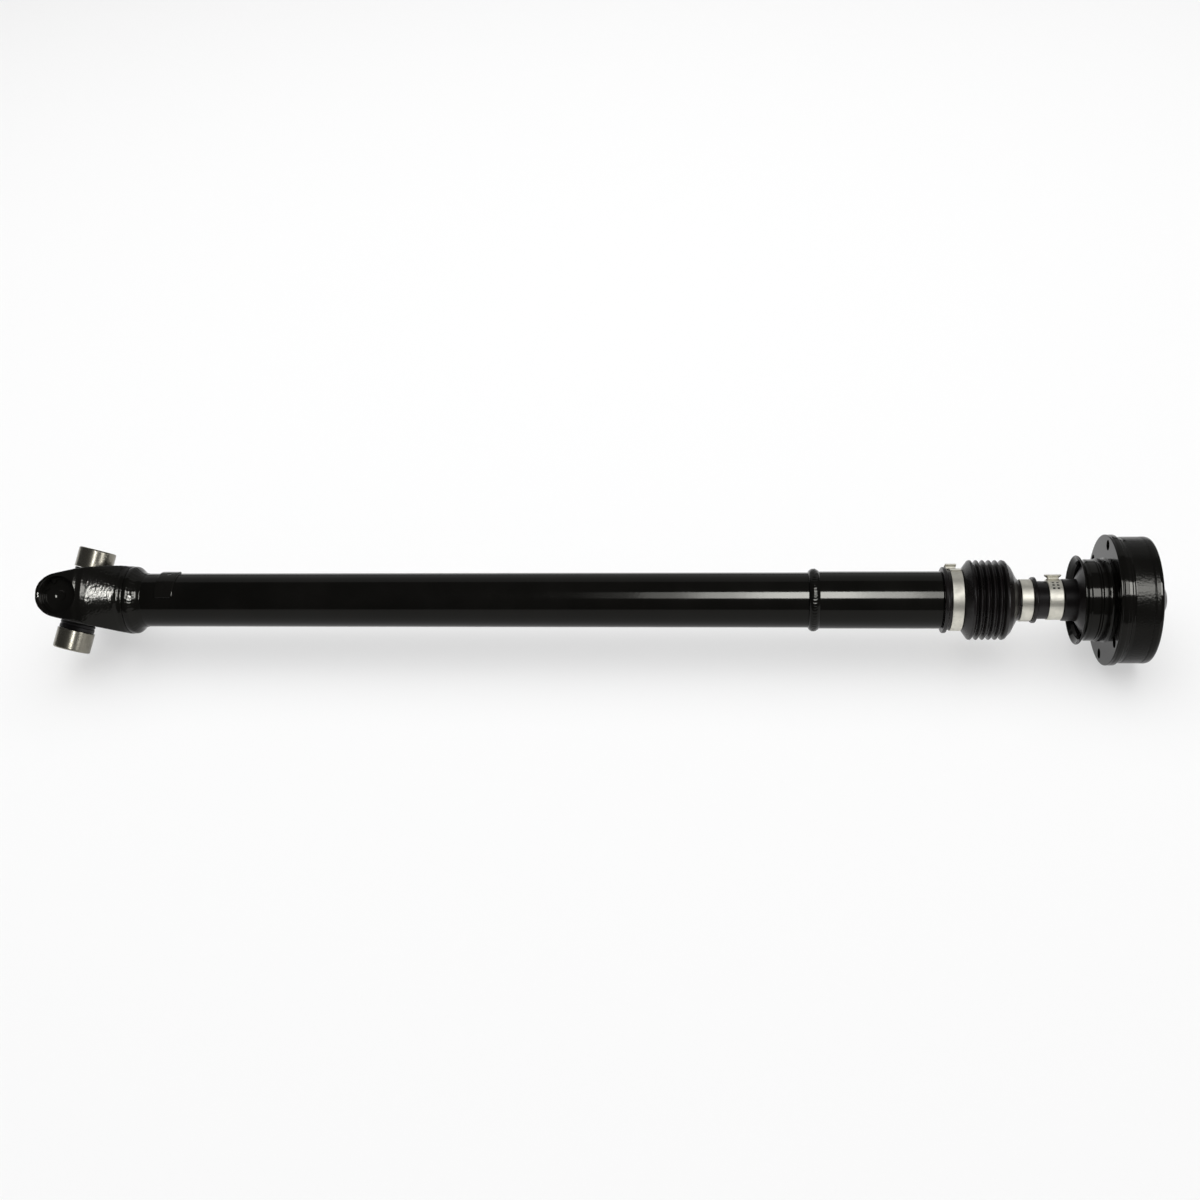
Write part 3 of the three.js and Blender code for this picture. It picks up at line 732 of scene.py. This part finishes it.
# ---------------------------------------------------------------- bellows boot
def make_bellows():
    folds, first, pitch, crest_r, valley_r = 6, 690.7, 4.66, 30.05, 27.1
    outer = rounded([
        (669.9, 20.85), (669.9, 25.0, 1.0), (672.6, 25.0, 1.0), (673.6, 22.6, 0.5), (684.3, 22.6, 0.6),
        (686.1, 25.2, 1.2), (first - 1.3, 29.8, 1.0), (first, crest_r)], 5, closed=False)
    steps = 16
    for i in range(folds - 1):
        for k in range(1, steps + 1):
            t = k / steps
            wave = 0.5 + 0.5 * math.cos(2 * math.pi * t)
            outer.append((first + (i + t) * pitch, valley_r + (crest_r - valley_r) * wave ** 1.1))
    last = first + (folds - 1) * pitch
    outer += rounded([
        (last + 0.2, crest_r), (last + 1.6, 29.7, 1.0), (last + 5.6, 25.4, 3.0), (724.4, 16.6, 2.0),
        (726.4, 15.0, 1.0), (735.9, 15.0, 0.2), (736.0, 17.3, 0.5), (738.5, 17.3, 0.6), (738.5, 13.35)],
        5, closed=False)
    inner = [(725.2, 13.35), (723.0, 15.2), (last + 4.6, 24.4), (last + 0.4, 28.2)]
    for i in range(folds - 1, 0, -1):
        inner += [(first + (i - 0.5) * pitch, valley_r - 1.5), (first + (i - 1) * pitch, crest_r - 2.0)]
    inner += [(687.0, 24.6), (684.6, 20.85)]

    def mould(x, r, angle):
        seam = 0.0
        for line in (math.radians(62.0), math.radians(242.0)):
            off = (angle - line + math.pi) % (2 * math.pi) - math.pi
            seam += 0.16 * math.exp(-(off * 26.0 / 0.45) ** 2)
        sag = 0.10 * noise.noise(Vector((math.cos(angle) * 1.6, math.sin(angle) * 1.6, x * 0.05)))
        return x, r + (seam + sag) * (1.0 if 686.0 < x < 724.0 else 0.3)

    mesh = revolve("slip_bellows", outer + inner, 200, mould)
    shade(mesh, 60.0)
    piece = finished(add_object("slip_bellows", mesh), BOOT_RUBBER, None, "slip_boot")
    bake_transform(piece)


make_bellows()


# ---------------------------------------------------------------- boot clamps
def strip(name, path, width_at, x_mid, thickness, holes=()):
    """A bent steel strip: path is (tangent, height) points in the plane square to the shaft."""
    columns = 12
    work = bmesh.new()
    rows = []
    for i, (y, z) in enumerate(path):
        width = width_at(i / (len(path) - 1))
        rows.append([work.verts.new((x_mid + (k / columns - 0.5) * width, y, z)) for k in range(columns + 1)])
    for i in range(len(rows) - 1):
        for k in range(columns):
            if (i, k) not in holes:
                work.faces.new((rows[i][k], rows[i][k + 1], rows[i + 1][k + 1], rows[i + 1][k]))
    bmesh.ops.recalc_face_normals(work, faces=work.faces)
    mesh = bpy.data.meshes.new(name)
    work.to_mesh(mesh)
    work.free()
    piece = add_object(name, mesh)
    solid = piece.modifiers.new("thick", "SOLIDIFY")
    solid.thickness = thickness
    solid.offset = 0.0
    solid.use_even_offset = True
    bevel = piece.modifiers.new("bevel", "BEVEL")
    bevel.width = 0.12
    bevel.segments = 2
    return baked(piece)


def ring_path(radius, start, end, steps):
    angles = [start + (end - start) * k / steps for k in range(steps + 1)]
    return [(-radius * math.sin(angle), radius * math.cos(angle)) for angle in angles]


SLOT_STARTS = (5, 11, 17)


def make_clamp(name, node, x0, x1, inner, outer, ear_angle, ear_height, body, flare, lap_degrees, slotted,
               ear_shift=0.0):
    """An ear clamp: a closed band, an outer strap that may have hook slots, and a pinched ear; painted shade
    sits in the slots.
    """
    x_mid, width = (x0 + x1) / 2, x1 - x0
    thick = (outer - inner) * 0.55
    waist = 0.97 - 1.8 * (flare - 0.97)
    band = add_object(name, revolve(name, rounded([
        (x0, inner), (x0, inner + thick, 0.15), (x1, inner + thick, 0.15), (x1, inner)], 3), 160))
    seat = inner + thick * 1.6
    foot = 5.2 / seat
    lap = ring_path(seat, foot, foot + math.radians(lap_degrees), 40)
    slots = {(i, k) for start in SLOT_STARTS for i in range(start, start + 3) for k in (3, 4, 7, 8)}

    def tapered(from_share):
        return lambda t: width * (0.98 if t < from_share else 0.98 - 3.0 * (t - from_share))

    strap = strip(name + "_strap", lap, tapered(0.93), x_mid, thick * 0.85, slots if slotted else ())
    tail_path = ring_path(seat, -foot, -foot - math.radians(30.0), 18)
    tail = strip(name + "_tail", tail_path, tapered(0.9), x_mid, thick * 0.85)
    top = seat + ear_height
    sketch = [
        (-5.2, seat * math.cos(5.2 / seat)), (-2.9, seat + 0.1), (-1.9, seat + 0.5), (-1.5, seat + 1.2),
        (-1.9, top - 1.5), (-2.9, top - 0.8), (-2.9, top - 0.2), (-2.0, top), (0.0, top - 0.25), (2.0, top),
        (2.9, top - 0.2), (2.9, top - 0.8), (1.9, top - 1.5), (1.5, seat + 1.2), (1.9, seat + 0.5),
        (2.9, seat + 0.1), (5.2, seat * math.cos(5.2 / seat)),
    ]
    path = bead_profile(sketch + [(0, 0), (0, 0)], 4)[:-2]

    def ear_width(t):
        rise = 1.0 - abs(t - 0.5) * 2.0
        if rise < 0.36:
            return width * (0.97 - (0.97 - waist) * rise / 0.36)
        return width * (waist + (flare - waist) * min(1.0, (rise - 0.36) / 0.24))

    ear = strip(name + "_ear", path, ear_width, x_mid + ear_shift, thick * 0.8)
    parts = [strap, tail, ear]
    step = math.radians(lap_degrees) / 40
    # Each slot gets a plug, a thin dark sheet laid on the band under it: painted shade for the depth of the
    # slot.
    for start in SLOT_STARTS if slotted else ():
        for side in (-1, 1):
            slot_shade_path = ring_path(
                seat - thick * 0.42, foot + (start - 0.1) * step, foot + (start + 3.1) * step, 4)
            plug = strip(name + "_slot", slot_shade_path, lambda t: width / 5.4, x_mid + side * width / 6.0, 0.05)
            for face in plug.data.polygons:
                face.material_index = 1
            parts.append(plug)
    for part in parts:
        part.data.transform(Matrix.Rotation(ear_angle, 4, "X"))
        part.data.transform(Matrix.Translation(CROSS) @ Matrix.Scale(MM, 4))
    work = bmesh.new()
    for part in [band] + parts:
        work.from_mesh(part.data)
    work.to_mesh(band.data)
    work.free()
    for part in parts:
        bpy.data.objects.remove(part)
    shade(band.data, 35.0)
    marks = [face.material_index for face in band.data.polygons]
    finished(band, CLAMP_STEEL, body, node)
    # The second material is the painted shade in the clamp slots.
    band.data.materials.append(SLOT_PAINTED_SHADE)
    band.data.polygons.foreach_set("material_index", marks)
    return band


make_clamp("large_boot_clamp", "clamp_boot_large", 675.7, 683.9, 22.75, 23.75,
           -ELEVATION - math.radians(15.0), 3.9, "shaft_tube", 1.0, 24.0, False, ear_shift=-2.0)
make_clamp("small_boot_clamp", "clamp_boot_small", 727.1, 735.5, 15.1, 16.0,
           -ELEVATION - math.radians(130.0), 2.9, "slip_stub", 1.0, 60.0, True)
make_clamp("cv_boot_clamp", "clamp_cv_boot", 747.1, 757.3, 14.4, 15.3,
           -ELEVATION, 3.7, "slip_stub", 1.1, 76.0, True)

# ---------------------------------------------------------------- CV boot
# Two pieces, one for each hinge: the inner cone goes with the pitch hinge and the outer cone with the yaw
# hinge.
boot_neck = add_object("cv_boot_neck", revolve("cv_boot_neck", rounded([
    (742.2, 12.2), (742.1, 13.3), (739.1, 13.3), (739.1, 14.25, 0.6), (757.6, 14.25, 0.3), (758.3, 15.7, 0.5),
    (768.4, 15.9, 0.6), (771.98, 21.77), (771.98, 20.04), (769.0, 15.1, 0.4), (767.6, 14.3, 0.4),
    (759.6, 13.8), (758.0, 12.2)], 4), 144))
shade(boot_neck.data, 50.0)
finished(boot_neck, CV_RUBBER, None, "cv_boot")
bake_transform(boot_neck)
boot_bell = add_object("cv_boot_bell", revolve("cv_boot_bell", rounded([
    (771.9, 19.91), (771.9, 21.64), (775.2, 27.05, 0.8), (775.9, 28.3, 0.5), (779.2, 28.3, 0.4),
    (779.2, 27.0, 0.4), (776.6, 26.8, 0.6)], 5), 144))
shade(boot_bell.data, 50.0)
finished(boot_bell, CV_RUBBER, None)
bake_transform(boot_bell)

# ---------------------------------------------------------------- CV housing
BAND = (800.3, 812.5)
DULL_END = 816.6
HOLE_RADIUS = 3.9
HOLE_CIRCLE = 42.3
HOLE_ANGLES = [math.radians(37.0 + 60.0 * k) for k in range(6)]


def drill_holes(piece):
    for angle in HOLE_ANGLES:
        profile = [(760.0, 0.0), (760.0, HOLE_RADIUS), (840.0, HOLE_RADIUS), (840.0, 0.0)]
        tool = revolve("drill", profile, 48)
        tool.transform(Matrix.Translation(at_angle(angle) * (HOLE_CIRCLE * MM)))
        combine(piece, tool, "DIFFERENCE")


can = add_object("stepped_boot_can", revolve("stepped_boot_can", rounded([
    (768.3, 32.7, 0.3), (768.6, 33.45, 0.4), (769.5, 33.3, 0.5), (771.8, 29.8, 0.9), (773.4, 29.7, 0.6),
    (774.5, 30.5, 0.8), (779.9, 30.5, 0.8), (780.7, 29.7, 0.5), (781.7, 29.7, 0.5), (782.3, 31.0, 0.6),
    (785.3, 31.0, 0.7), (786.2, 30.3, 0.8), (788.0, 30.4, 0.8), (789.2, 31.8, 1.0), (789.2, 48.95, 1.0),
    (790.3, 48.95, 0.4), (791.1, 48.35, 0.5), (792.3, 48.9, 0.5), (794.95, 48.95, 0.9), (794.95, 47.75),
    (790.75, 47.65, 0.3), (790.65, 31.2, 1.0), (788.0, 29.0, 0.8), (773.0, 28.6, 0.6), (770.9, 29.5, 0.5)],
    5), 192))
drill_holes(can)
shade(can.data, 30.0)
finished(can, PAINT, "cv_housing", "boot_can")

race = add_object("cv_housing_race", revolve("cv_housing_race", rounded([
    (790.9, 0.0), (790.9, 47.3, 0.4), (797.4, 47.3, 0.7), (798.2, 46.6, 0.5), (799.2, 46.6, 0.5),
    (799.9, 47.2, 0.5), (BAND[0], 47.2), (BAND[1], 47.2), (812.9, 47.2, 0.5), (813.5, 46.7, 0.4),
    (814.3, 47.25, 0.5), (820.05, 47.3, 3.4), (820.05, 33.0, 0.2), (818.35, 33.0), (818.35, 0.0)],
    6, closed=False), 192, closed=False))


def make_race():
    ball = bpy.data.meshes.new("race_ball")
    work = bmesh.new()
    bmesh.ops.create_uvsphere(work, u_segments=96, v_segments=48, radius=29.3 * MM,
                              matrix=Matrix.Translation(CROSS + SHAFT * (CV_STATION * MM)))
    work.to_mesh(ball)
    work.free()
    combine(race, ball, "DIFFERENCE")
    drill_holes(race)
    shade(race.data, 30.0)
    finished(race, PAINT, "cv_housing", "cv_outer_race")
    race.data.materials.append(PAINT_DULL)
    for face in race.data.polygons:
        local = (face.center - CROSS) / MM
        on_rim = math.hypot(local.y, local.z) > 46.0 and abs(face.normal.x) < 0.6
        if BAND[0] < local.x < DULL_END and on_rim:
            face.material_index = 1


make_race()

cap = add_object("domed_grease_cap", revolve("domed_grease_cap", rounded([
    (832.9, 0.0), (831.6, 7.6, 3.0), (827.6, 13.6, 3.0), (821.4, 18.6, 2.0), (818.6, 22.4, 1.0),
    (818.6, 32.75, 0.2), (820.05, 32.75, 0.5), (820.05, 23.6, 1.0), (822.6, 20.6, 1.4), (828.8, 15.0, 4.0),
    (832.8, 8.6, 4.0), (834.3, 2.0, 1.5), (834.35, 0.0)], 6, closed=False), 160, closed=False))
finished(cap, PAINT, "cv_housing", "grease_cap")

# ---------------------------------------------------------------- CAD nodes that stay
for node_name, node in frame["nodes"].items():
    if node_name.startswith("cv_ball"):
        looks = BALL_STEEL
    elif node_name.startswith("needles") or node_name in ("splined_bush", "cv_inner_race", "cv_cage"):
        looks = MACHINED
    else:
        continue
    node.data.materials.clear()
    node.data.materials.append(looks)
    node.data.shade_smooth()

# ---------------------------------------------------------------- floor and light
FLOOR_Z = -0.0006
floor_corners = [(x, y, FLOOR_Z) for x, y in ((-6, -5), (6, -5), (6, 7), (-6, 7))]
floor = add_object("floor", mesh_from("floor", floor_corners, [(0, 1, 2, 3)]))
floor_nodes = Nodes("pale_floor")
floor_nodes.set(Base_Color=(0.9, 0.9, 0.9), Roughness=0.9, Specular_IOR_Level=0.0)
floor.data.materials.append(floor_nodes.material)

WORLD_STRENGTH = 0.10
world = bpy.data.worlds.new("studio")
world.use_nodes = True
background = world.node_tree.nodes["Background"]
background.inputs["Color"].default_value = (1.0, 1.0, 1.0, 1.0)
background.inputs["Strength"].default_value = WORLD_STRENGTH
bpy.context.scene.world = world


def group(name, objects):
    found = bpy.data.collections.new(name)
    for item in objects:
        found.objects.link(item)
    return found


PAINTS = (PAINT, PAINT_CAST, PAINT_WELD, PAINT_DULL, EAR_CUP_PAINT)
FORK_PIECES = ("yoke_casting", "yoke_weld_bead", "balance_plate", "bearing_cup_ear_near", "bearing_cup_ear_far")
meshes = [o for o in bpy.context.scene.objects if o.type == "MESH" and o is not floor and o.data.materials]
enamelled = [o for o in meshes if o.data.materials[0] in PAINTS]
painted = group("painted", enamelled)
clamps = group("clamps", [o for o in meshes if o.data.materials[0] is CLAMP_STEEL])
can_only = group("can_only", [can])
not_can = group("painted_but_can", [o for o in enamelled if o is not can])
fork_end = group("fork_end", [o for o in meshes if o.name in FORK_PIECES])
cups = group("cups", [o for o in meshes if o.data.materials[0] is CUP_STEEL])
others = group("bare_and_rubber", [
    o for o in meshes if o.data.materials[0] not in PAINTS and o.data.materials[0] is not CLAMP_STEEL])
whole = group("whole_part", meshes)
floor_only = group("floor_only", [floor])


def softbox(name, place, target, size_x, size_y, radiance, receivers, blockers=None):
    """A rectangular studio light that lights only the pieces of one group."""
    data = bpy.data.lights.new(name, "AREA")
    data.shape = "RECTANGLE"
    data.size = size_x
    data.size_y = size_y
    data.energy = radiance * math.pi * size_x * size_y
    light = bpy.data.objects.new(name, data)
    bpy.context.scene.collection.objects.link(light)
    look = (Vector(target) - Vector(place)).normalized()
    side = Vector((1.0, 0.0, 0.0)) if abs(look.x) < 0.8 else Vector((0.0, 1.0, 0.0))
    side = (side - look * side.dot(look)).normalized()
    up = (-look).cross(side)
    light.matrix_world = Matrix.Translation(place) @ Matrix((side, up, -look)).transposed().to_4x4()
    light.visible_camera = False
    light.light_linking.receiver_collection = receivers
    if blockers:
        light.light_linking.blocker_collection = blockers
    return light


AXIS_HEIGHT = CROSS.z


def above(x, degrees, distance):
    """A place over the camera side of the shaft, by its height angle from the floor."""
    angle = math.radians(degrees)
    return Vector((x, -distance * math.cos(angle), AXIS_HEIGHT + distance * math.sin(angle)))


KEY_SLICES = ((-0.1, 0.9), (0.0, 7.0), (0.1, 23.0), (0.2, 44.0), (0.3, 45.0), (0.4, 30.0), (0.5, 14.0))
for x, radiance in KEY_SLICES:
    place = above(x, 59.4 + 1.6 * x, 1.5)
    softbox(f"key_slice_{x:.1f}", place, (x, 0.0, AXIS_HEIGHT), 0.1, 0.68, radiance, painted)

housing_end = (1.0, 0.0, AXIS_HEIGHT)
boots = (0.5, 0.0, AXIS_HEIGHT)
clamp_end = (0.35, 0.0, AXIS_HEIGHT)
softbox("key", above(1.0, 60.4, 1.5), housing_end, 0.9, 0.6, 27.0, not_can)
softbox("can_key", above(1.0, 60.4, 1.5), housing_end, 0.9, 0.6, 14.0, can_only)
softbox("soft_key", above(0.75, 60.0, 1.5), boots, 1.5, 0.5, 1.3, others)
softbox("right_light", (2.0, -1.1, 0.95), (0.3, 0.0, AXIS_HEIGHT), 0.8, 0.8, 7.5, others)
softbox("cup_strip", above(-0.04, 45.0, 1.5), (-0.4, 0.0, AXIS_HEIGHT), 0.16, 1.2, 15.0, cups)
softbox("clamp_key", above(0.45, 68.0, 1.6), clamp_end, 2.4, 2.2, 0.85, clamps)
softbox("clamp_accent", above(0.8, 60.0, 1.5), clamp_end, 0.9, 0.4, 2.5, clamps)
softbox("back_light", above(0.0, 148.0, 2.0), (0.0, 0.0, AXIS_HEIGHT), 3.6, 1.9, 0.42, whole)

# The side light stands where the camera sees it mirrored in the shoulder of the near ear.
shoulder_side = at_angle(math.radians(42.0))
shoulder = CROSS + SHAFT * (28.0 * MM) + shoulder_side * (38.8 * MM)
slope = (SHAFT * 0.72 + shoulder_side * 0.694).normalized()
sight = (camera.matrix_world.translation - shoulder).normalized()
bounce = slope * (2.0 * slope.dot(sight)) - sight
softbox("side_light", shoulder + bounce * 2.4, shoulder, 1.1, 0.13, 190.0, fork_end)

floor_light = (0.0, 0.6, 3.2)
floor_centre = (0.0, 0.6, 0.0)
softbox("floor_wash", floor_light, floor_centre, 6.0, 6.0, 1.60, floor_only, floor_only)
softbox("floor_fill", floor_light, floor_centre, 6.0, 6.0, 0.34, floor_only)
